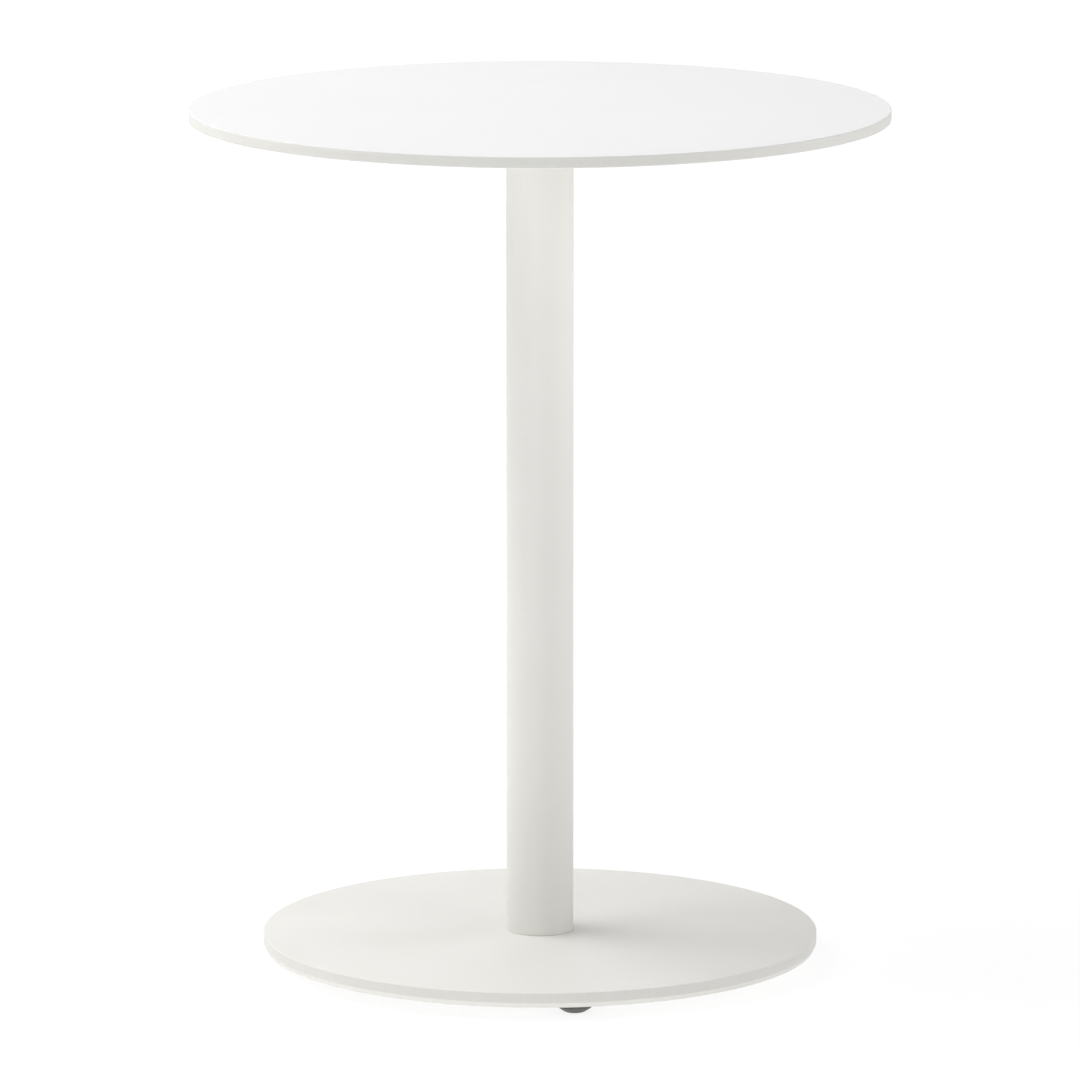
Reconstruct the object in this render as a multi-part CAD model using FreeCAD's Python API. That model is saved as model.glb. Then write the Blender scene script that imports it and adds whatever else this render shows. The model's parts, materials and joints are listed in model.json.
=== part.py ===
import FreeCAD, Part
import math
import os

from FreeCAD import Vector

# Round pedestal table: laminate top, tube column, steel base plate and four levelling feet.
# Millimetres, +Z up. The origin is on the floor, on the column's axis.

# Tabletop: solid laminate disc
TOP_DIAMETER = 500.0
TOP_THICKNESS = 8.0
TOP_EDGE_RADIUS = 0.8

# Column: plain round tube
COLUMN_DIAMETER = 48.3
COLUMN_WALL = 2.0
COLUMN_LENGTH = 587.5
COLUMN_RIM_CHAMFER = 0.4

# Mounting plate welded on the column's upper end
MOUNT_DIAMETER = 220.0
MOUNT_THICKNESS = 4.0
MOUNT_CHAMFER = 0.8

# Base plate: the lower part of its edge leans in
BASE_DIAMETER = 400.0
BASE_THICKNESS = 11.0
BASE_UPPER_RADIUS = 0.8
BASE_BEVEL_HEIGHT = 3.6
BASE_BEVEL_INSET = 1.6

# Tapped plug set back in the column's lower end
PLUG_LENGTH = 14.0
PLUG_RECESS = 3.0
PLUG_CLEARANCE = 0.1

# Fillet welds: leg lengths, height of the rounded face, and the gap left at a curved wall
MOUNT_WELD_LEG = 4.0
PLUG_WELD_LEG = 2.4
WELD_BULGE = 0.25
WELD_CLEARANCE = 0.05

# Countersunk socket screws, from under the base into the plug (M8 x 25)
BASE_SCREW_COUNT = 3
BASE_SCREW_PLUG_WALL = 6.0
BASE_SCREW_FIRST_ANGLE = 90.0
BASE_SCREW_DIAMETER = 8.0
BASE_SCREW_LENGTH = 25.0
BASE_HEAD_DIAMETER = 16.0
BASE_HEAD_RIM = 0.4
BASE_HEAD_SINK = 0.4
BASE_HEAD_CLEARANCE = 0.15
BASE_SOCKET_FLATS = 5.0
BASE_SOCKET_DEPTH = 2.6
BASE_SCREW_HOLE_CLEARANCE = 0.5

# Button head screws, washers and inserts that hold the tabletop (M6 x 10)
TOP_SCREW_COUNT = 4
TOP_SCREW_RIM_DISTANCE = 20.0
TOP_SCREW_FIRST_ANGLE = 45.0
TOP_SCREW_DIAMETER = 6.0
TOP_SCREW_LENGTH = 10.0
TOP_HEAD_DIAMETER = 10.5
TOP_HEAD_HEIGHT = 3.3
TOP_HEAD_CROWN_DIAMETER = 5.6
TOP_HEAD_BULGE = 0.6
TOP_SOCKET_FLATS = 4.0
TOP_SOCKET_DEPTH = 2.0
TOP_SCREW_HOLE_CLEARANCE = 0.5
WASHER_DIAMETER = 12.0
WASHER_THICKNESS = 1.6
WASHER_CLEARANCE = 0.2
INSERT_DIAMETER = 8.5
INSERT_LENGTH = 5.5
INSERT_POCKET_RELIEF = 0.3

# Levelling feet
FOOT_COUNT = 4
FOOT_RIM_DISTANCE = 30.0
FOOT_FIRST_ANGLE = -81.7
PAD_DIAMETER = 26.0
PAD_HEIGHT = 6.2
PAD_FLAT_DIAMETER = 14.0
PAD_SHOULDER_HEIGHT = 4.2
PAD_TOP_RADIUS = 0.6
PAD_TAPER_BULGE = 0.25
PAD_FLOOR = 2.6
STUD_HEAD_DIAMETER = 12.0
STUD_HEAD_HEIGHT = 2.0
STUD_HEAD_CLEARANCE = 0.1
STUD_NECK_DIAMETER = 7.0
STUD_NECK_GAP = 0.4
COLLAR_FLATS = 13.0
COLLAR_HEIGHT = 2.9
STUD_DIAMETER = 8.0
STUD_LENGTH = 8.0
STUD_BORE_RELIEF = 0.5

# Radial gap between a thread's plain cylinder and its bore, and the lead-in at a thread's tip
THREAD_CLEARANCE = 0.05
THREAD_TIP_CHAMFER = 0.6

# Heights of the main faces
BASE_BOTTOM = PAD_HEIGHT + STUD_NECK_GAP + COLLAR_HEIGHT
BASE_TOP = BASE_BOTTOM + BASE_THICKNESS
MOUNT_BOTTOM = BASE_TOP + COLUMN_LENGTH
MOUNT_TOP = MOUNT_BOTTOM + MOUNT_THICKNESS
PLUG_BOTTOM = BASE_TOP + PLUG_RECESS

# Radii that more than one piece shares
COLUMN_RADIUS = COLUMN_DIAMETER / 2
COLUMN_BORE_RADIUS = COLUMN_RADIUS - COLUMN_WALL
PLUG_RADIUS = COLUMN_BORE_RADIUS - PLUG_CLEARANCE
PLUG_TAPPED_RADIUS = BASE_SCREW_DIAMETER / 2 + THREAD_CLEARANCE

# Circles that the repeated pieces stand on
BASE_SCREW_CIRCLE_RADIUS = PLUG_RADIUS - BASE_SCREW_PLUG_WALL - PLUG_TAPPED_RADIUS
TOP_SCREW_CIRCLE_RADIUS = MOUNT_DIAMETER / 2 - TOP_SCREW_RIM_DISTANCE
FOOT_CIRCLE_RADIUS = BASE_DIAMETER / 2 - FOOT_RIM_DISTANCE


def cylinder(radius, height, bottom):
    """Upright cylinder on the Z axis."""
    return Part.makeCylinder(radius, height, Vector(0, 0, bottom))


def line(start, end):
    """Straight edge between two (radius, height) points."""
    return Part.makeLine(Vector(start[0], 0, start[1]), Vector(end[0], 0, end[1]))


def bulged(start, end, bulge):
    """Round edge between two (radius, height) points, its middle pushed to the right of the way along."""
    run = end[0] - start[0]
    rise = end[1] - start[1]
    length = math.hypot(run, rise)
    middle_radius = (start[0] + end[0]) / 2 + bulge * rise / length
    middle_height = (start[1] + end[1]) / 2 - bulge * run / length
    middle = Vector(middle_radius, 0, middle_height)
    return Part.Arc(Vector(start[0], 0, start[1]), middle, Vector(end[0], 0, end[1])).toShape()


def turned(edges):
    """Solid turned about the Z axis from a closed outline of edges."""
    face = Part.Face(Part.Wire(edges))
    return face.revolve(Vector(0, 0, 0), Vector(0, 0, 1), 360)


def turned_polygon(points):
    """Solid turned about the Z axis from a closed run of (radius, height) points."""
    return turned([line(point, points[index - 1]) for index, point in enumerate(points)])


def hex_prism(across_flats, height, bottom):
    """Upright hexagonal prism on the Z axis."""
    corner = across_flats / math.sqrt(3)
    points = []
    for index in range(7):
        angle = math.radians(60 * index)
        points.append(Vector(corner * math.cos(angle), corner * math.sin(angle), bottom))
    face = Part.Face(Part.makePolygon(points))
    return face.extrude(Vector(0, 0, height))


def rims(shape, height, radius):
    """Round edges of a shape at one height and radius."""
    found = []
    for edge in shape.Edges:
        is_round = isinstance(edge.Curve, Part.Circle)
        if is_round and abs(edge.Curve.Center.z - height) < 1e-6 and abs(edge.Curve.Radius - radius) < 1e-6:
            found.append(edge)
    return found


def on_circle(shape, count, radius, first_angle):
    """Copies of a shape, evenly spaced on a circle about the Z axis."""
    copies = []
    for index in range(count):
        angle = math.radians(first_angle + 360 * index / count)
        copy = shape.copy()
        copy.translate(Vector(radius * math.cos(angle), radius * math.sin(angle), 0))
        copies.append(copy)
    return copies


def at_base_screws(shape):
    return on_circle(shape, BASE_SCREW_COUNT, BASE_SCREW_CIRCLE_RADIUS, BASE_SCREW_FIRST_ANGLE)


def at_top_screws(shape):
    return on_circle(shape, TOP_SCREW_COUNT, TOP_SCREW_CIRCLE_RADIUS, TOP_SCREW_FIRST_ANGLE)


def at_feet(shape):
    return on_circle(shape, FOOT_COUNT, FOOT_CIRCLE_RADIUS, FOOT_FIRST_ANGLE)


def threaded_rod(diameter, length, bottom):
    """Plain cylinder in place of a thread, with a lead-in chamfer at its upper tip."""
    rod = cylinder(diameter / 2, length, bottom)
    return rod.makeChamfer(THREAD_TIP_CHAMFER, rims(rod, bottom + length, diameter / 2))


def weld_ring(wall, top, leg, side):
    """Fillet weld below a flat face; side is 1 on the outside of a round wall and -1 on its inside."""
    corner = (wall, top)
    toe = (wall + side * leg, top)
    foot = (wall, top - leg)
    return turned([line(corner, foot), bulged(foot, toe, side * WELD_BULGE), line(toe, corner)])


def make_tabletop():
    """Disc with eased rims and a blind pocket for each insert."""
    radius = TOP_DIAMETER / 2
    disc = cylinder(radius, TOP_THICKNESS, MOUNT_TOP)
    edges = rims(disc, MOUNT_TOP, radius) + rims(disc, MOUNT_TOP + TOP_THICKNESS, radius)
    disc = disc.makeFillet(TOP_EDGE_RADIUS, edges)
    pocket_radius = INSERT_DIAMETER / 2 + THREAD_CLEARANCE
    pocket = cylinder(pocket_radius, INSERT_LENGTH + INSERT_POCKET_RELIEF, MOUNT_TOP)
    return disc.cut(at_top_screws(pocket))


def make_top_inserts():
    """Threaded sleeves, flush with the tabletop's underside."""
    sleeve = cylinder(INSERT_DIAMETER / 2, INSERT_LENGTH, MOUNT_TOP)
    bore = cylinder(TOP_SCREW_DIAMETER / 2 + THREAD_CLEARANCE, INSERT_LENGTH, MOUNT_TOP)
    return Part.makeCompound(at_top_screws(sleeve.cut(bore)))


def make_top_screws():
    """Button head screws, driven from below."""
    head_top = MOUNT_BOTTOM - WASHER_THICKNESS
    head_bottom = head_top - TOP_HEAD_HEIGHT
    head_radius = TOP_HEAD_DIAMETER / 2
    crown_radius = TOP_HEAD_CROWN_DIAMETER / 2
    head = turned([
        line((0, head_bottom), (crown_radius, head_bottom)),
        bulged((crown_radius, head_bottom), (head_radius, head_top), TOP_HEAD_BULGE),
        line((head_radius, head_top), (0, head_top)),
        line((0, head_top), (0, head_bottom)),
    ])
    shank = threaded_rod(TOP_SCREW_DIAMETER, TOP_SCREW_LENGTH, head_top)
    socket = hex_prism(TOP_SOCKET_FLATS, TOP_SOCKET_DEPTH, head_bottom)
    return Part.makeCompound(at_top_screws(head.fuse(shank).cut(socket).removeSplitter()))


def make_top_washers():
    bottom = MOUNT_BOTTOM - WASHER_THICKNESS
    disc = cylinder(WASHER_DIAMETER / 2, WASHER_THICKNESS, bottom)
    hole = cylinder(TOP_SCREW_DIAMETER / 2 + WASHER_CLEARANCE, WASHER_THICKNESS, bottom)
    return Part.makeCompound(at_top_screws(disc.cut(hole)))


def make_top_plate():
    """Round plate with clearance holes for the tabletop's screws."""
    radius = MOUNT_DIAMETER / 2
    disc = cylinder(radius, MOUNT_THICKNESS, MOUNT_BOTTOM)
    disc = disc.makeChamfer(MOUNT_CHAMFER, rims(disc, MOUNT_BOTTOM, radius))
    hole = cylinder(TOP_SCREW_DIAMETER / 2 + TOP_SCREW_HOLE_CLEARANCE, MOUNT_THICKNESS, MOUNT_BOTTOM)
    return disc.cut(at_top_screws(hole))


def make_top_weld_bead():
    """Fillet weld between the column's outside and the mounting plate's underside."""
    return weld_ring(COLUMN_RADIUS + WELD_CLEARANCE, MOUNT_BOTTOM, MOUNT_WELD_LEG, 1)


def make_column_tube():
    """Tube from the base plate up to the mounting plate, lower rim eased."""
    outside = cylinder(COLUMN_RADIUS, COLUMN_LENGTH, BASE_TOP)
    outside = outside.makeChamfer(COLUMN_RIM_CHAMFER, rims(outside, BASE_TOP, COLUMN_RADIUS))
    return outside.cut(cylinder(COLUMN_BORE_RADIUS, COLUMN_LENGTH, BASE_TOP))


def make_column_plug():
    """Round plug with tapped through holes for the base screws."""
    plug = cylinder(PLUG_RADIUS, PLUG_LENGTH, PLUG_BOTTOM)
    bore = cylinder(PLUG_TAPPED_RADIUS, PLUG_LENGTH, PLUG_BOTTOM)
    return plug.cut(at_base_screws(bore))


def make_plug_weld_bead():
    """Fillet weld between the column's inside and the plug's lower face."""
    return weld_ring(COLUMN_BORE_RADIUS - WELD_CLEARANCE, PLUG_BOTTOM, PLUG_WELD_LEG, -1)


def make_base_plate():
    """Disc with an eased upper rim, a bevelled lower edge, countersunk holes and foot bores."""
    radius = BASE_DIAMETER / 2
    disc = turned_polygon([
        (0, BASE_BOTTOM),
        (radius - BASE_BEVEL_INSET, BASE_BOTTOM),
        (radius, BASE_BOTTOM + BASE_BEVEL_HEIGHT),
        (radius, BASE_TOP),
        (0, BASE_TOP),
    ])
    disc = disc.makeFillet(BASE_UPPER_RADIUS, rims(disc, BASE_TOP, radius))
    hole_radius = BASE_SCREW_DIAMETER / 2 + BASE_SCREW_HOLE_CLEARANCE
    seat_radius = BASE_HEAD_DIAMETER / 2 + BASE_HEAD_CLEARANCE
    rim_top = BASE_BOTTOM + BASE_HEAD_SINK + BASE_HEAD_RIM
    hole = turned_polygon([
        (0, BASE_BOTTOM),
        (seat_radius, BASE_BOTTOM),
        (seat_radius, rim_top),
        (hole_radius, rim_top + seat_radius - hole_radius),
        (hole_radius, BASE_TOP),
        (0, BASE_TOP),
    ])
    bore = cylinder(STUD_DIAMETER / 2 + THREAD_CLEARANCE, STUD_LENGTH + STUD_BORE_RELIEF, BASE_BOTTOM)
    return disc.cut(at_base_screws(hole) + at_feet(bore))


def make_base_screws():
    """Countersunk screws, heads sunk below the base plate's underside."""
    bottom = BASE_BOTTOM + BASE_HEAD_SINK
    head_radius = BASE_HEAD_DIAMETER / 2
    shank_radius = BASE_SCREW_DIAMETER / 2
    rim_top = bottom + BASE_HEAD_RIM
    shank_bottom = rim_top + head_radius - shank_radius
    head = turned_polygon([
        (0, bottom),
        (head_radius, bottom),
        (head_radius, rim_top),
        (shank_radius, shank_bottom),
        (0, shank_bottom),
    ])
    shank = threaded_rod(BASE_SCREW_DIAMETER, bottom + BASE_SCREW_LENGTH - shank_bottom, shank_bottom)
    socket = hex_prism(BASE_SOCKET_FLATS, BASE_SOCKET_DEPTH, bottom)
    return Part.makeCompound(at_base_screws(head.fuse(shank).cut(socket).removeSplitter()))


def make_foot_stud():
    """Disc head, neck, hexagonal collar and thread in one piece, on the Z axis."""
    head = cylinder(STUD_HEAD_DIAMETER / 2, STUD_HEAD_HEIGHT, PAD_FLOOR)
    neck_bottom = PAD_FLOOR + STUD_HEAD_HEIGHT
    collar_bottom = BASE_BOTTOM - COLLAR_HEIGHT
    neck = cylinder(STUD_NECK_DIAMETER / 2, collar_bottom - neck_bottom, neck_bottom)
    collar = hex_prism(COLLAR_FLATS, COLLAR_HEIGHT, collar_bottom)
    thread = threaded_rod(STUD_DIAMETER, STUD_LENGTH, BASE_BOTTOM)
    return head.fuse([neck, collar, thread])


def make_foot_pad():
    """Tapered round pad, moulded round the stud's disc head, on the Z axis."""
    radius = PAD_DIAMETER / 2
    flat_radius = PAD_FLAT_DIAMETER / 2
    shoulder = (radius, PAD_SHOULDER_HEIGHT)
    mouth_radius = STUD_NECK_DIAMETER / 2 + STUD_HEAD_CLEARANCE
    cavity_radius = STUD_HEAD_DIAMETER / 2 + STUD_HEAD_CLEARANCE
    cavity_top = PAD_FLOOR + STUD_HEAD_HEIGHT + STUD_HEAD_CLEARANCE
    pad = turned([
        line((0, 0), (flat_radius, 0)),
        bulged((flat_radius, 0), shoulder, PAD_TAPER_BULGE),
        line(shoulder, (radius, PAD_HEIGHT)),
        line((radius, PAD_HEIGHT), (mouth_radius, PAD_HEIGHT)),
        line((mouth_radius, PAD_HEIGHT), (mouth_radius, cavity_top)),
        line((mouth_radius, cavity_top), (cavity_radius, cavity_top)),
        line((cavity_radius, cavity_top), (cavity_radius, PAD_FLOOR)),
        line((cavity_radius, PAD_FLOOR), (0, PAD_FLOOR)),
        line((0, PAD_FLOOR), (0, 0)),
    ])
    return pad.makeFillet(PAD_TOP_RADIUS, rims(pad, PAD_HEIGHT, radius))


def all_parts():
    """Every node's name and shape."""
    parts = {
        "tabletop": make_tabletop(),
        "top_inserts": make_top_inserts(),
        "top_screws": make_top_screws(),
        "top_washers": make_top_washers(),
        "top_plate": make_top_plate(),
        "top_weld_bead": make_top_weld_bead(),
        "column_tube": make_column_tube(),
        "column_plug": make_column_plug(),
        "plug_weld_bead": make_plug_weld_bead(),
        "base_plate": make_base_plate(),
        "base_screws": make_base_screws(),
    }
    for index, stud in enumerate(at_feet(make_foot_stud())):
        parts[f"foot_stud_{index + 1}"] = stud
    for index, pad in enumerate(at_feet(make_foot_pad())):
        parts[f"foot_pad_{index + 1}"] = pad
    return parts


os.makedirs("parts", exist_ok=True)
for name, shape in all_parts().items():
    shape.exportStep(f"parts/{name}.step")
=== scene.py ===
import json
import math
from collections import namedtuple

import bpy
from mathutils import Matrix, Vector

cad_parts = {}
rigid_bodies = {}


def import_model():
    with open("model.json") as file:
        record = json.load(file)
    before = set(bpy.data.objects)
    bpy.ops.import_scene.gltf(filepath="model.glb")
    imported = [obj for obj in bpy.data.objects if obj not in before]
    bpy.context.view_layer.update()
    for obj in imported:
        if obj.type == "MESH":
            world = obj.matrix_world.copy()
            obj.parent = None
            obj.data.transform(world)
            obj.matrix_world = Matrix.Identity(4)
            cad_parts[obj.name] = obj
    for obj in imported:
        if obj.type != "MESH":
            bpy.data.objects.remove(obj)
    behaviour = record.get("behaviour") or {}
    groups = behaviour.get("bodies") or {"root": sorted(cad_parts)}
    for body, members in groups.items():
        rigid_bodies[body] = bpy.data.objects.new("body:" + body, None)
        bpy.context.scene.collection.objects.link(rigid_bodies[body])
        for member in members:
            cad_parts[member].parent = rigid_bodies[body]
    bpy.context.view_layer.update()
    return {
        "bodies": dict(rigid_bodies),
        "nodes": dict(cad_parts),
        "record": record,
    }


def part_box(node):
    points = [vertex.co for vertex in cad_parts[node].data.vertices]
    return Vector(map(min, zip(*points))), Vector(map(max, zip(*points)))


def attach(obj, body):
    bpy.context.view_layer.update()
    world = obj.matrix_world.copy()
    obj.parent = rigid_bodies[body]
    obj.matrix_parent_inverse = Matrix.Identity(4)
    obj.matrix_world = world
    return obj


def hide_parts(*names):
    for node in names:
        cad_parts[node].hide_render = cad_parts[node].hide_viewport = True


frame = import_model()

# Lengths are in metres and angles in degrees, in the CAD frame: +Z up, -Y towards the camera.

# Camera
CAMERA_DISTANCE = 6.3574
CAMERA_HEIGHT = 1.4990
CAMERA_PITCH_DOWN = 10.623
CAMERA_LENS_MM = 300.33
CAMERA_REACH = 100.0
SENSOR_WIDTH_MM = 36.0

# Levelling stud, in the CAD node's place: heights above its lowest face, radii and the M8 thread's form
STUD_STEPS = 72
STUD_SHARP_ANGLE = 28.0
STUD_HEAD_RADIUS = 0.0060
STUD_HEAD_HEIGHT = 0.0020
STUD_NECK_RADIUS = 0.0035
COLLAR_BOTTOM = 0.0040
COLLAR_TOP = 0.0069
COLLAR_FLATS = 0.0130
COLLAR_FACE_RADIUS = 0.0062
COLLAR_CHAMFER = 0.00065
COLLAR_CHAMFER_STEPS = 4
EDGE_BREAK = 0.0002
THREAD_PITCH = 0.00125
THREAD_RADIUS = 0.0040
THREAD_ROOT_RADIUS = 0.00325
THREAD_RELIEF = 0.0006
THREAD_STEPS_PER_PITCH = 10

# Where a thread's flank starts and ends, in pitches from the middle of a crest
FLANK_START = 1 / 16
FLANK_END = 3 / 8

# Weld bead under the mounting plate: its fillet, the ripples in its face, and how far the middle of a
# ripple lags behind its ends, in ripples
WELD_WALL_RADIUS = 0.0242
WELD_LEG = 0.0040
WELD_BULGE = 0.0002
WELD_RIPPLES = 96
WELD_RIPPLE_HEIGHT = 0.00016
WELD_RIPPLE_LAG = 0.6
WELD_STEPS_PER_RIPPLE = 8
WELD_FACE_STEPS = 8
WELD_SHARP_ANGLE = 50.0

# Turned pieces in the CAD nodes' places: steps round a piece, steps in a quarter round, the width of the
# strip beside a rounded edge that keeps its shading off the flat next to it, and the coat's own rounding
PLATE_STEPS = 360
TUBE_STEPS = 144
HOLE_STEPS = 48
ROUND_STEPS = 6
TURNED_SHARP_ANGLE = 30.0
SHADING_STRIP = 0.0004
COAT_ROUND = 0.0003

# Rims of the plates and the column
TOP_EDGE_ROUND = 0.0008
BASE_UPPER_ROUND = 0.0008
BASE_BEVEL_HEIGHT = 0.0036
BASE_BEVEL_INSET = 0.0016
MOUNT_CHAMFER = 0.0008
TUBE_WALL = 0.0020
TUBE_CHAMFER = 0.0004

# Sets of holes on a circle, with an outline of (radius, height above the node's underside) points that
# reaches past the faces it opens
CUT_PAST = 0.001
Holes = namedtuple("Holes", "count circle first_angle outline")
INSERT_POCKETS = Holes(
    count=4,
    circle=0.090,
    first_angle=45.0,
    outline=[(0.0043, -CUT_PAST), (0.0043, 0.0058)],
)
MOUNT_HOLES = Holes(
    count=4,
    circle=0.090,
    first_angle=45.0,
    outline=[(0.0035, -CUT_PAST), (0.0035, 0.004 + CUT_PAST)],
)
COUNTERSINKS = Holes(
    count=3,
    circle=0.0120,
    first_angle=90.0,
    outline=[(0.00815, -CUT_PAST), (0.00815, 0.0008), (0.0045, 0.00445), (0.0045, 0.011 + CUT_PAST)],
)
STUD_BORES = Holes(
    count=4,
    circle=0.170,
    first_angle=-81.7,
    outline=[(0.00405, -CUT_PAST), (0.00405, 0.0085)],
)

# Range that most of a noise texture stays in
NOISE_LOW = 0.3
NOISE_HIGH = 0.7

# Shares of the orange peel and of the cutter's marks in the powder coat's bump
PEEL_SHARE = 0.5
MARKS_SHARE = 0.4

# Soft boxes round the table: place, point aimed at, width, and power in watts
Lamp = namedtuple("Lamp", "place target width power")
LAMPS = {
    "key_left_back": Lamp((-2.12, 1.23, 2.51), (0.0, 0.0, 0.1), width=2.2, power=34.2),
    "overhead_left": Lamp((-1.34, 0.00, 3.32), (0.0, 0.0, 0.1), width=2.2, power=52.4),
    "overhead_right": Lamp((1.34, 0.00, 3.32), (0.0, 0.0, 0.1), width=1.6, power=7.5),
    "left_front": Lamp((-2.37, -0.64, 2.51), (0.0, 0.0, 0.1), width=2.2, power=16.3),
    "front": Lamp((-0.82, -3.06, 0.75), (0.0, 0.0, 0.3), width=1.6, power=16.8),
    "right_front": Lamp((1.20, -0.84, 1.05), (0.0, 0.0, 0.4), width=0.8, power=3.3),
    "right_side": Lamp((3.06, 0.82, 1.05), (0.0, 0.0, 0.3), width=1.6, power=21.3),
    "back": Lamp((0.00, 3.50, 2.50), (0.0, 0.0, 0.3), width=2.4, power=1.5),
}
WORLD_STRENGTH = 0.143

# Floor, a white light table: what it bounces and gives off, the share of its shading that shows, and
# the white that is added to that share near the table
FLOOR_SIZE = 40.0
FLOOR_BOUNCE = 0.86
FLOOR_LIGHT = 0.33
FLOOR_SHADOW_SHARE = 0.20
FLOOR_WHITE = 0.86
FLOOR_FADE_START = 0.5
FLOOR_FADE_END = 1.5


class Graph:
    """Short calls for adding nodes to a material and joining them."""

    def __init__(self, name):
        self.material = bpy.data.materials.new(name)
        self.material.use_nodes = True
        self.tree = self.material.node_tree
        self.shader = self.tree.nodes["Principled BSDF"]
        self.coordinates = self.tree.nodes.new("ShaderNodeTexCoord").outputs["Object"]

    def add(self, kind, **settings):
        node = self.tree.nodes.new(kind)
        for key, value in settings.items():
            setattr(node, key, value)
        return node

    def join(self, output, socket):
        self.tree.links.new(output, socket)

    def noise(self, scale, detail=2.0, roughness=0.5, stretch=None):
        """Noise in object space; scale is in cells a metre, stretch squeezes it along X, Y and Z."""
        node = self.add("ShaderNodeTexNoise")
        node.inputs["Scale"].default_value = scale
        node.inputs["Detail"].default_value = detail
        node.inputs["Roughness"].default_value = roughness
        place = self.coordinates
        if stretch:
            mapping = self.add("ShaderNodeMapping")
            mapping.inputs["Scale"].default_value = stretch
            self.join(place, mapping.inputs["Vector"])
            place = mapping.outputs["Vector"]
        self.join(place, node.inputs["Vector"])
        return node.outputs["Fac"]

    def ramp(self, noise, low, high):
        """Colour between low and high as a noise goes through its range."""
        node = self.add("ShaderNodeValToRGB")
        first, last = node.color_ramp.elements
        first.position = NOISE_LOW
        first.color = (*low, 1.0)
        last.position = NOISE_HIGH
        last.color = (*high, 1.0)
        self.join(noise, node.inputs["Fac"])
        return node.outputs["Color"]

    def spread(self, factor, low, high, from_low=NOISE_LOW, from_high=NOISE_HIGH):
        """Number between low and high as the factor goes from from_low to from_high."""
        node = self.add("ShaderNodeMapRange")
        node.inputs["From Min"].default_value = from_low
        node.inputs["From Max"].default_value = from_high
        node.inputs["To Min"].default_value = low
        node.inputs["To Max"].default_value = high
        self.join(factor, node.inputs["Value"])
        return node.outputs["Result"]

    def mix(self, factor, first, second):
        """Colour that goes from first to second as the factor goes from 0 to 1."""
        node = self.add("ShaderNodeMix", data_type="RGBA")
        self.join(factor, node.inputs["Factor"])
        self.join(first, node.inputs["A"])
        self.join(second, node.inputs["B"])
        return node.outputs["Result"]

    def combine(self, operation, first, second):
        """Sum, product and so on of a socket and a socket or number."""
        node = self.add("ShaderNodeMath", operation=operation)
        self.join(first, node.inputs[0])
        if isinstance(second, float):
            node.inputs[1].default_value = second
        else:
            self.join(second, node.inputs[1])
        return node.outputs["Value"]

    def levelness(self):
        """1 on level faces, 0 on upright ones."""
        geometry = self.add("ShaderNodeNewGeometry")
        normal = self.add("ShaderNodeSeparateXYZ")
        self.join(geometry.outputs["Normal"], normal.inputs["Vector"])
        return self.combine("ABSOLUTE", normal.outputs["Z"], 0.0)

    def set_colour(self, colour):
        self.join(colour, self.shader.inputs["Base Color"])

    def set_roughness(self, noise, low, high):
        self.join(self.spread(noise, low, high), self.shader.inputs["Roughness"])

    def set_bump(self, height, strength, distance):
        node = self.add("ShaderNodeBump")
        node.inputs["Strength"].default_value = strength
        node.inputs["Distance"].default_value = distance
        self.join(height, node.inputs["Height"])
        self.join(node.outputs["Normal"], self.shader.inputs["Normal"])


def laminate():
    """Matt white laminate: fine pearl texture on the faces; the upright edge is darker, which is painted
    shade, and shows faint pressed layers.
    """
    graph = Graph("white_laminate")
    pearl = graph.noise(scale=1400.0, detail=1.0)
    cloud = graph.noise(scale=9.0, detail=3.0)
    face = graph.ramp(cloud, low=(0.854, 0.853, 0.853), high=(0.867, 0.866, 0.866))
    layers = graph.noise(scale=1.0, stretch=(12.0, 12.0, 1500.0))
    # Painted shade: the upright edge is made darker than the faces; the pressed layers vary that colour.
    edge = graph.ramp(layers, low=(0.780, 0.773, 0.736), high=(0.810, 0.804, 0.768))
    edge_and_shade_mask = graph.spread(graph.levelness(), low=1.0, high=0.0, from_low=0.25, from_high=0.75)
    graph.set_colour(graph.mix(edge_and_shade_mask, face, edge))
    graph.set_roughness(pearl, low=0.66, high=0.78)
    graph.shader.inputs["Specular IOR Level"].default_value = 0.25
    graph.set_bump(pearl, strength=0.4, distance=0.0001)
    return graph.material


def powder_coat(name, cut_edge_and_shade=False):
    """Fine-textured warm white powder coat; with the cut-edge setting, upright faces get a darker colour
    that is painted shade, with the cutter's marks in its colour and bump.
    """
    graph = Graph(name)
    peel = graph.noise(scale=700.0, roughness=0.6)
    grain = graph.noise(scale=2000.0)
    cloud = graph.noise(scale=14.0, detail=3.0)
    colour = graph.ramp(cloud, low=(0.832, 0.822, 0.784), high=(0.852, 0.842, 0.806))
    height = graph.combine("ADD", grain, graph.combine("MULTIPLY", peel, PEEL_SHARE))
    if cut_edge_and_shade:
        # Painted shade: the upright rim is made darker than the coat; the cutter's marks vary this colour
        # and add to the bump.
        edge_and_shade_mask = graph.spread(graph.levelness(), low=1.0, high=0.0, from_low=0.1, from_high=0.3)
        marks = graph.noise(scale=520.0, stretch=(1.0, 1.0, 0.04))
        edge = graph.ramp(marks, low=(0.754, 0.744, 0.708), high=(0.772, 0.762, 0.726))
        colour = graph.mix(edge_and_shade_mask, colour, edge)
        edge_marks = graph.combine("MULTIPLY", graph.combine("MULTIPLY", marks, MARKS_SHARE), edge_and_shade_mask)
        height = graph.combine("ADD", height, edge_marks)
    graph.set_colour(colour)
    graph.set_roughness(grain, low=0.42, high=0.54)
    graph.shader.inputs["Specular IOR Level"].default_value = 0.45
    graph.set_bump(height, strength=0.5, distance=0.0002)
    return graph.material


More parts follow.
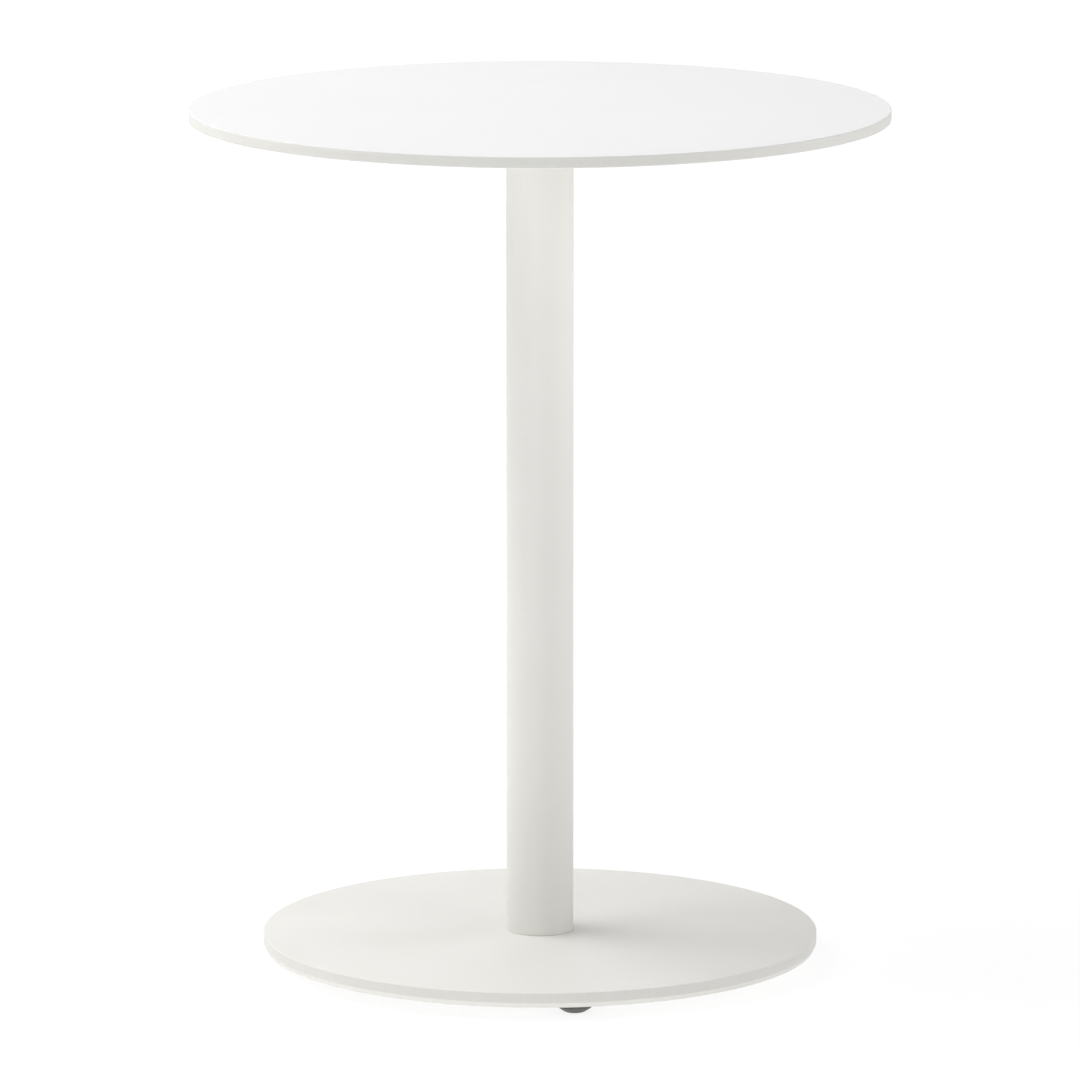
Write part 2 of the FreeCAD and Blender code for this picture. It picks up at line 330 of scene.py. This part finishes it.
def moulded_plastic():
    """Charcoal moulded plastic with a fine spark-eroded grain and a slightly cloudy colour."""
    graph = Graph("foot_plastic")
    grain = graph.noise(scale=3200.0)
    cloud = graph.noise(scale=160.0, detail=3.0)
    graph.set_colour(graph.ramp(cloud, low=(0.105, 0.103, 0.100), high=(0.135, 0.133, 0.130)))
    graph.set_roughness(grain, low=0.42, high=0.58)
    graph.set_bump(grain, strength=0.2, distance=0.00005)
    return graph.material


def turned_metal(name, marks, cloud, low, high):
    """Graph of a metal with a cloudy colour from low to high, and the noise of its turning marks."""
    graph = Graph(name)
    marks_noise = graph.noise(**marks)
    cloud_noise = graph.noise(**cloud)
    graph.set_colour(graph.ramp(cloud_noise, low, high))
    graph.shader.inputs["Metallic"].default_value = 1.0
    return graph, marks_noise


def plated_steel():
    """Bright zinc plating with fine turning marks."""
    graph, marks = turned_metal(
        "zinc_steel",
        marks={"scale": 60.0, "stretch": (1.0, 1.0, 60.0)},
        cloud={"scale": 300.0},
        low=(0.56, 0.57, 0.59),
        high=(0.66, 0.67, 0.68),
    )
    graph.set_roughness(marks, low=0.24, high=0.40)
    graph.set_bump(marks, strength=0.08, distance=0.00003)
    return graph.material


def bare_steel():
    """Turned bare steel, a little dark from heat and oil."""
    graph, marks = turned_metal(
        "bare_steel",
        marks={"scale": 70.0, "stretch": (1.0, 1.0, 40.0)},
        cloud={"scale": 120.0, "detail": 3.0},
        low=(0.30, 0.29, 0.28),
        high=(0.44, 0.43, 0.42),
    )
    graph.set_roughness(marks, low=0.32, high=0.50)
    graph.set_bump(marks, strength=0.10, distance=0.00004)
    return graph.material


def turned_brass():
    """Plain turned brass."""
    graph, marks = turned_metal(
        "insert_brass",
        marks={"scale": 80.0, "stretch": (1.0, 1.0, 50.0)},
        cloud={"scale": 250.0},
        low=(0.58, 0.41, 0.17),
        high=(0.70, 0.52, 0.24),
    )
    graph.set_roughness(marks, low=0.25, high=0.42)
    graph.set_bump(marks, strength=0.10, distance=0.00003)
    return graph.material


def dress_nodes():
    """Gives every CAD node the procedural material of its slot."""
    materials = {
        "white_laminate": laminate(),
        "powder_coat": powder_coat("powder_coat"),
        "foot_plastic": moulded_plastic(),
        "zinc_steel": plated_steel(),
        "bare_steel": bare_steel(),
        "insert_brass": turned_brass(),
    }
    for entry in frame["record"]["subparts"]:
        node = frame["nodes"][entry["node"]]
        node.data.materials.clear()
        node.data.materials.append(materials[entry["material_slot"]])
    return materials


def ring_mesh(name, rings):
    """Closed mesh from rings of points, with a flat cap on the first and last ring."""
    steps = len(rings[0])
    vertices = [point for ring in rings for point in ring]
    faces = []
    for row in range(len(rings) - 1):
        for step in range(steps):
            along = (step + 1) % steps
            low = row * steps
            high = low + steps
            faces.append((low + step, low + along, high + along, high + step))
    faces.append(tuple(reversed(range(steps))))
    faces.append(tuple(range(len(vertices) - steps, len(vertices))))
    mesh = bpy.data.meshes.new(name)
    mesh.from_pydata(vertices, [], faces)
    mesh.validate()
    return mesh


def add_piece(name, mesh, material, body, node):
    """Piece that stands for a CAD node and moves with its body."""
    piece = bpy.data.objects.new(name, mesh)
    bpy.context.scene.collection.objects.link(piece)
    mesh.materials.append(material)
    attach(piece, body)
    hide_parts(node)


def smooth_by_angle(mesh, degrees):
    """Smooth shading that keeps edges sharper than the given angle."""
    mesh.shade_smooth()
    mesh.set_sharp_from_angle(angle=math.radians(degrees))


def hex_radius(angle):
    """Distance from a hexagon's middle to its side, with a corner at angle 0."""
    turn = math.radians(60.0)
    return COLLAR_FLATS / 2 / math.cos(angle % turn - turn / 2)


def thread_radius(angle, height, top):
    """Radius of a right-hand thread at an angle and a height above its start; top is where it ends."""
    phase = height / THREAD_PITCH - angle / (2 * math.pi)
    from_crest = abs((phase + 0.5) % 1.0 - 0.5)
    depth = min(max((from_crest - FLANK_START) / (FLANK_END - FLANK_START), 0.0), 1.0)
    radius = THREAD_RADIUS - depth * (THREAD_RADIUS - THREAD_ROOT_RADIUS)
    lead_in = THREAD_ROOT_RADIUS + (top - height)
    run_out = THREAD_ROOT_RADIUS + max(height - THREAD_RELIEF, 0.0)
    return min(radius, lead_in, run_out)


def collar_chamfer():
    """(depth, cone radius) steps of the collar's chamfer, from its face to where it leaves the corners."""
    corner = COLLAR_FLATS / math.sqrt(3)
    steps = []
    for step in range(COLLAR_CHAMFER_STEPS + 1):
        share = step / COLLAR_CHAMFER_STEPS
        steps.append((COLLAR_CHAMFER * share, COLLAR_FACE_RADIUS + (corner - COLLAR_FACE_RADIUS) * share))
    return steps


def stud_rings(centre, bottom, top):
    """Rings of a levelling stud, from the underside of its disc head to the thread's tip."""
    angles = [2 * math.pi * step / STUD_STEPS for step in range(STUD_STEPS)]

    def ring(height, radius_at):
        return [
            (centre[0] + radius_at(a) * math.cos(a), centre[1] + radius_at(a) * math.sin(a), bottom + height)
            for a in angles
        ]

    def round_ring(height, radius):
        return ring(height, lambda angle: radius)

    def collar_ring(height, cone):
        return ring(height, lambda angle: min(hex_radius(angle), cone))

    rings = [
        round_ring(0.0, STUD_HEAD_RADIUS - EDGE_BREAK),
        round_ring(EDGE_BREAK, STUD_HEAD_RADIUS),
        round_ring(STUD_HEAD_HEIGHT - EDGE_BREAK, STUD_HEAD_RADIUS),
        round_ring(STUD_HEAD_HEIGHT, STUD_HEAD_RADIUS - EDGE_BREAK),
        round_ring(STUD_HEAD_HEIGHT, STUD_NECK_RADIUS),
        round_ring(COLLAR_BOTTOM, STUD_NECK_RADIUS),
    ]
    chamfer = collar_chamfer()
    rings += [collar_ring(COLLAR_BOTTOM + depth, cone) for depth, cone in chamfer]
    rings += [collar_ring(COLLAR_TOP - depth, cone) for depth, cone in reversed(chamfer)]
    length = top - bottom - COLLAR_TOP
    count = math.ceil(length / THREAD_PITCH * THREAD_STEPS_PER_PITCH)
    for index in range(count + 1):
        height = length * index / count
        rings.append(ring(COLLAR_TOP + height, lambda angle: thread_radius(angle, height, length)))
    return rings


def make_studs(material):
    """Levelling studs with a cut thread and a chamfered hexagonal collar."""
    for name in frame["bodies"]:
        if not name.startswith("foot_stud"):
            continue
        low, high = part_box(name)
        centre = ((low[0] + high[0]) / 2, (low[1] + high[1]) / 2)
        mesh = ring_mesh(name + "_detail", stud_rings(centre, low[2], high[2]))
        smooth_by_angle(mesh, STUD_SHARP_ANGLE)
        add_piece(name + "_detail", mesh, material, name, name)


def weld_section(step, top):
    """(radius, height) points round the weld's section, at one step of the way round the column."""
    points = [(WELD_WALL_RADIUS, top)]
    for index in range(WELD_FACE_STEPS + 1):
        share = index / WELD_FACE_STEPS
        crown = 4 * share * (1 - share)
        phase = (step / WELD_STEPS_PER_RIPPLE + WELD_RIPPLE_LAG * crown) % 1.0
        lift = crown * (WELD_BULGE + WELD_RIPPLE_HEIGHT * (phase ** 2 - 0.5))
        out = WELD_WALL_RADIUS + WELD_LEG * share + lift / math.sqrt(2)
        points.append((out, top - WELD_LEG * (1 - share) - lift / math.sqrt(2)))
    return points


def make_weld(material):
    """Rippled fillet weld round the column's upper end."""
    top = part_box("top_weld_bead")[1][2]
    steps = WELD_RIPPLES * WELD_STEPS_PER_RIPPLE
    around = len(weld_section(0, top))
    vertices = []
    faces = []
    for step in range(steps):
        angle = 2 * math.pi * step / steps
        for out, height in weld_section(step, top):
            vertices.append((out * math.cos(angle), out * math.sin(angle), height))
        low = step * around
        high = (step + 1) % steps * around
        for index in range(around):
            along = (index + 1) % around
            faces.append((low + index, high + index, high + along, low + along))
    mesh = bpy.data.meshes.new("top_weld_detail")
    mesh.from_pydata(vertices, [], faces)
    smooth_by_angle(mesh, WELD_SHARP_ANGLE)
    add_piece("top_weld_detail", mesh, material, "pedestal", "top_weld_bead")


def unit(start, end):
    """Direction from one (radius, height) point to another."""
    length = math.hypot(end[0] - start[0], end[1] - start[1])
    return (end[0] - start[0]) / length, (end[1] - start[1]) / length


def rounded(before, corner, after, radius):
    """Points of a rounded corner, with one more on each side as its shading strip."""
    back = unit(corner, before)
    on = unit(corner, after)
    half = math.acos(back[0] * on[0] + back[1] * on[1]) / 2
    reach = radius / math.tan(half)
    middle = unit((0.0, 0.0), (back[0] + on[0], back[1] + on[1]))
    distance = radius / math.sin(half)
    centre = (corner[0] + middle[0] * distance, corner[1] + middle[1] * distance)
    start = math.atan2(corner[1] + back[1] * reach - centre[1], corner[0] + back[0] * reach - centre[0])
    end = math.atan2(corner[1] + on[1] * reach - centre[1], corner[0] + on[0] * reach - centre[0])
    sweep = (end - start + math.pi) % (2 * math.pi) - math.pi
    steps = max(2, round(ROUND_STEPS * abs(sweep) / (math.pi / 2)))
    strip = reach + SHADING_STRIP
    points = [(corner[0] + back[0] * strip, corner[1] + back[1] * strip)]
    for step in range(steps + 1):
        angle = start + sweep * step / steps
        points.append((centre[0] + radius * math.cos(angle), centre[1] + radius * math.sin(angle)))
    points.append((corner[0] + on[0] * strip, corner[1] + on[1] * strip))
    return points


def outline(corners):
    """Run of (radius, height) points from (radius, height, rounding) corners; the ends stay as they are."""
    points = [corners[0][:2]]
    for before, corner, after in zip(corners, corners[1:], corners[2:]):
        if corner[2] > 0.0:
            points += rounded(before, corner, after, corner[2])
        else:
            points.append(corner[:2])
    points.append(corners[-1][:2])
    return points


def turned_mesh(name, points, steps, place=(0.0, 0.0)):
    """Capped mesh turned from (radius, height) points about an upright axis."""
    angles = [2 * math.pi * step / steps for step in range(steps)]
    rings = [
        [(place[0] + out * math.cos(a), place[1] + out * math.sin(a), height) for a in angles]
        for out, height in points
    ]
    return ring_mesh(name, rings)


def cut(mesh, cutters):
    """The mesh with every cutter mesh taken out of it, one after the other."""
    link = bpy.context.scene.collection.objects.link
    for cutter in cutters:
        target_object = bpy.data.objects.new("target", mesh)
        cutter_object = bpy.data.objects.new("cutter", cutter)
        link(target_object)
        link(cutter_object)
        modifier = target_object.modifiers.new("cut", "BOOLEAN")
        modifier.operation = "DIFFERENCE"
        modifier.solver = "EXACT"
        modifier.object = cutter_object
        graph = bpy.context.evaluated_depsgraph_get()
        mesh = bpy.data.meshes.new_from_object(target_object.evaluated_get(graph))
        bpy.data.objects.remove(target_object)
        bpy.data.objects.remove(cutter_object)
    return mesh


def hole_cutters(holes, bottom):
    """Cutter mesh for each hole of a set, standing on a node's underside."""
    lifted = [(out, bottom + height) for out, height in holes.outline]
    cutters = []
    for index in range(holes.count):
        angle = math.radians(holes.first_angle + 360.0 * index / holes.count)
        place = (holes.circle * math.cos(angle), holes.circle * math.sin(angle))
        cutters.append(turned_mesh("hole", lifted, HOLE_STEPS, place))
    return cutters


def make_plate(node, material, corners, hole_sets):
    """Round plate with rounded or chamfered rims and its holes, in a node's place."""
    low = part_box(node)[0]
    cutters = [cutter for holes in hole_sets for cutter in hole_cutters(holes, low[2])]
    mesh = cut(turned_mesh(node, outline(corners), PLATE_STEPS), cutters)
    mesh.name = node + "_detail"
    smooth_by_angle(mesh, TURNED_SHARP_ANGLE)
    add_piece(node + "_detail", mesh, material, "pedestal", node)


def make_plates(materials):
    """Tabletop, mounting plate and base plate with smooth rims."""
    low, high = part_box("tabletop")
    make_plate("tabletop", materials["white_laminate"], [
        (high[0] / 2, low[2], 0.0),
        (high[0], low[2], TOP_EDGE_ROUND),
        (high[0], high[2], TOP_EDGE_ROUND),
        (high[0] / 2, high[2], 0.0),
    ], [INSERT_POCKETS])
    low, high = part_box("top_plate")
    make_plate("top_plate", materials["powder_coat"], [
        (high[0] / 2, low[2], 0.0),
        (high[0] - MOUNT_CHAMFER, low[2], COAT_ROUND),
        (high[0], low[2] + MOUNT_CHAMFER, COAT_ROUND),
        (high[0], high[2], 0.0),
        (high[0] / 2, high[2], 0.0),
    ], [MOUNT_HOLES])
    low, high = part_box("base_plate")
    # The base plate's coat has painted shade on its upright rim.
    make_plate("base_plate", powder_coat("powder_coat_cut_edge", cut_edge_and_shade=True), [
        (high[0] / 2, low[2], 0.0),
        (high[0] - BASE_BEVEL_INSET, low[2], COAT_ROUND),
        (high[0], low[2] + BASE_BEVEL_HEIGHT, COAT_ROUND),
        (high[0], high[2], BASE_UPPER_ROUND),
        (high[0] / 2, high[2], 0.0),
    ], [COUNTERSINKS, STUD_BORES])


def make_column(material):
    """Tube with a smooth wall and an eased lower rim."""
    low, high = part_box("column_tube")
    radius = high[0]
    outside = turned_mesh("column_tube", outline([
        (radius / 2, low[2], 0.0),
        (radius - TUBE_CHAMFER, low[2], 0.0),
        (radius, low[2] + TUBE_CHAMFER, COAT_ROUND),
        (radius, high[2], 0.0),
        (radius / 2, high[2], 0.0),
    ]), TUBE_STEPS)
    bore = turned_mesh("bore", [
        (radius - TUBE_WALL, low[2] - CUT_PAST),
        (radius - TUBE_WALL, high[2] + CUT_PAST),
    ], TUBE_STEPS)
    mesh = cut(outside, [bore])
    mesh.name = "column_tube_detail"
    smooth_by_angle(mesh, TURNED_SHARP_ANGLE)
    add_piece("column_tube_detail", mesh, material, "pedestal", "column_tube")


def seen_directly(tree):
    """Socket that is 1 for rays from the camera, from a reflection or through glass, and 0 for the rest."""
    path = tree.nodes.new("ShaderNodeLightPath")
    total = path.outputs["Is Camera Ray"]
    for kind in ("Is Glossy Ray", "Is Transmission Ray"):
        either = tree.nodes.new("ShaderNodeMath")
        either.operation = "MAXIMUM"
        tree.links.new(total, either.inputs[0])
        tree.links.new(path.outputs[kind], either.inputs[1])
        total = either.outputs["Value"]
    return total


def matt(tree, level):
    """Matt grey surface of one level."""
    surface = tree.nodes.new("ShaderNodeBsdfDiffuse")
    surface.inputs["Color"].default_value = (level, level, level, 1.0)
    return surface.outputs["BSDF"]


def both(tree, first, second):
    """Sum of two shaders."""
    total = tree.nodes.new("ShaderNodeAddShader")
    tree.links.new(first, total.inputs[0])
    tree.links.new(second, total.inputs[1])
    return total.outputs["Shader"]


def floor_light(tree):
    """Even light that the floor gives off on to the table."""
    light = tree.nodes.new("ShaderNodeEmission")
    light.inputs["Strength"].default_value = FLOOR_LIGHT
    return light.outputs["Emission"]


def floor_glow(tree):
    """White that fills up what the floor's own shading leaves, and takes over away from the table."""
    coordinates = tree.nodes.new("ShaderNodeTexCoord")
    distance = tree.nodes.new("ShaderNodeVectorMath")
    distance.operation = "LENGTH"
    tree.links.new(coordinates.outputs["Object"], distance.inputs[0])
    fade = tree.nodes.new("ShaderNodeMapRange")
    fade.interpolation_type = "SMOOTHSTEP"
    fade.inputs["From Min"].default_value = FLOOR_FADE_START
    fade.inputs["From Max"].default_value = FLOOR_FADE_END
    fade.inputs["To Min"].default_value = FLOOR_WHITE
    fade.inputs["To Max"].default_value = 1.0
    tree.links.new(distance.outputs["Value"], fade.inputs["Value"])
    glow = tree.nodes.new("ShaderNodeEmission")
    tree.links.new(fade.outputs["Result"], glow.inputs["Strength"])
    return glow.outputs["Emission"]


def floor_material():
    """What lights the table, and for rays that see the floor, white with the table's shadow."""
    material = bpy.data.materials.new("floor")
    material.use_nodes = True
    tree = material.node_tree
    tree.nodes.clear()
    choose = tree.nodes.new("ShaderNodeMixShader")
    tree.links.new(seen_directly(tree), choose.inputs["Fac"])
    tree.links.new(both(tree, matt(tree, FLOOR_BOUNCE), floor_light(tree)), choose.inputs[1])
    tree.links.new(both(tree, matt(tree, FLOOR_SHADOW_SHARE), floor_glow(tree)), choose.inputs[2])
    output = tree.nodes.new("ShaderNodeOutputMaterial")
    tree.links.new(choose.outputs["Shader"], output.inputs["Surface"])
    return material


def make_floor():
    """White floor that keeps the table's shadow and bounces plain light on to it."""
    half = FLOOR_SIZE / 2
    mesh = bpy.data.meshes.new("floor")
    corners = [(-half, -half, 0.0), (half, -half, 0.0), (half, half, 0.0), (-half, half, 0.0)]
    mesh.from_pydata(corners, [], [(0, 1, 2, 3)])
    mesh.materials.append(floor_material())
    floor = bpy.data.objects.new("floor", mesh)
    bpy.context.scene.collection.objects.link(floor)


def make_lamps():
    """Soft boxes, each turned towards its target."""
    for name, lamp in LAMPS.items():
        light = bpy.data.lights.new(name, "AREA")
        light.shape = "SQUARE"
        light.size = lamp.width
        light.energy = lamp.power
        light_object = bpy.data.objects.new(name, light)
        light_object.location = lamp.place
        aim = Vector(lamp.target) - Vector(lamp.place)
        light_object.rotation_euler = aim.to_track_quat("-Z", "Y").to_euler()
        light_object.visible_camera = False
        bpy.context.scene.collection.objects.link(light_object)


def make_world():
    """Even surroundings: plain fill light, and white where they show past the floor."""
    world = bpy.data.worlds.new("studio")
    world.use_nodes = True
    tree = world.node_tree
    background = tree.nodes["Background"]
    background.inputs["Color"].default_value = (1.0, 1.0, 1.0, 1.0)
    strength = tree.nodes.new("ShaderNodeMapRange")
    strength.inputs["To Min"].default_value = WORLD_STRENGTH
    strength.inputs["To Max"].default_value = 1.0
    tree.links.new(seen_directly(tree), strength.inputs["Value"])
    tree.links.new(strength.outputs["Result"], background.inputs["Strength"])
    bpy.context.scene.world = world


def make_camera():
    """Camera in front of the table, tipped down at it."""
    camera = bpy.data.cameras.new("camera")
    camera.sensor_width = SENSOR_WIDTH_MM
    camera.lens = CAMERA_LENS_MM
    camera.clip_end = CAMERA_REACH
    camera_object = bpy.data.objects.new("camera", camera)
    camera_object.location = (0.0, -CAMERA_DISTANCE, CAMERA_HEIGHT)
    camera_object.rotation_euler = (math.radians(90.0 - CAMERA_PITCH_DOWN), 0.0, 0.0)
    bpy.context.scene.collection.objects.link(camera_object)
    bpy.context.scene.camera = camera_object


bpy.context.scene.view_settings.view_transform = "Standard"
materials = dress_nodes()
make_studs(materials["zinc_steel"])
make_weld(materials["powder_coat"])
make_plates(materials)
make_column(materials["powder_coat"])
make_floor()
make_lamps()
make_world()
make_camera()
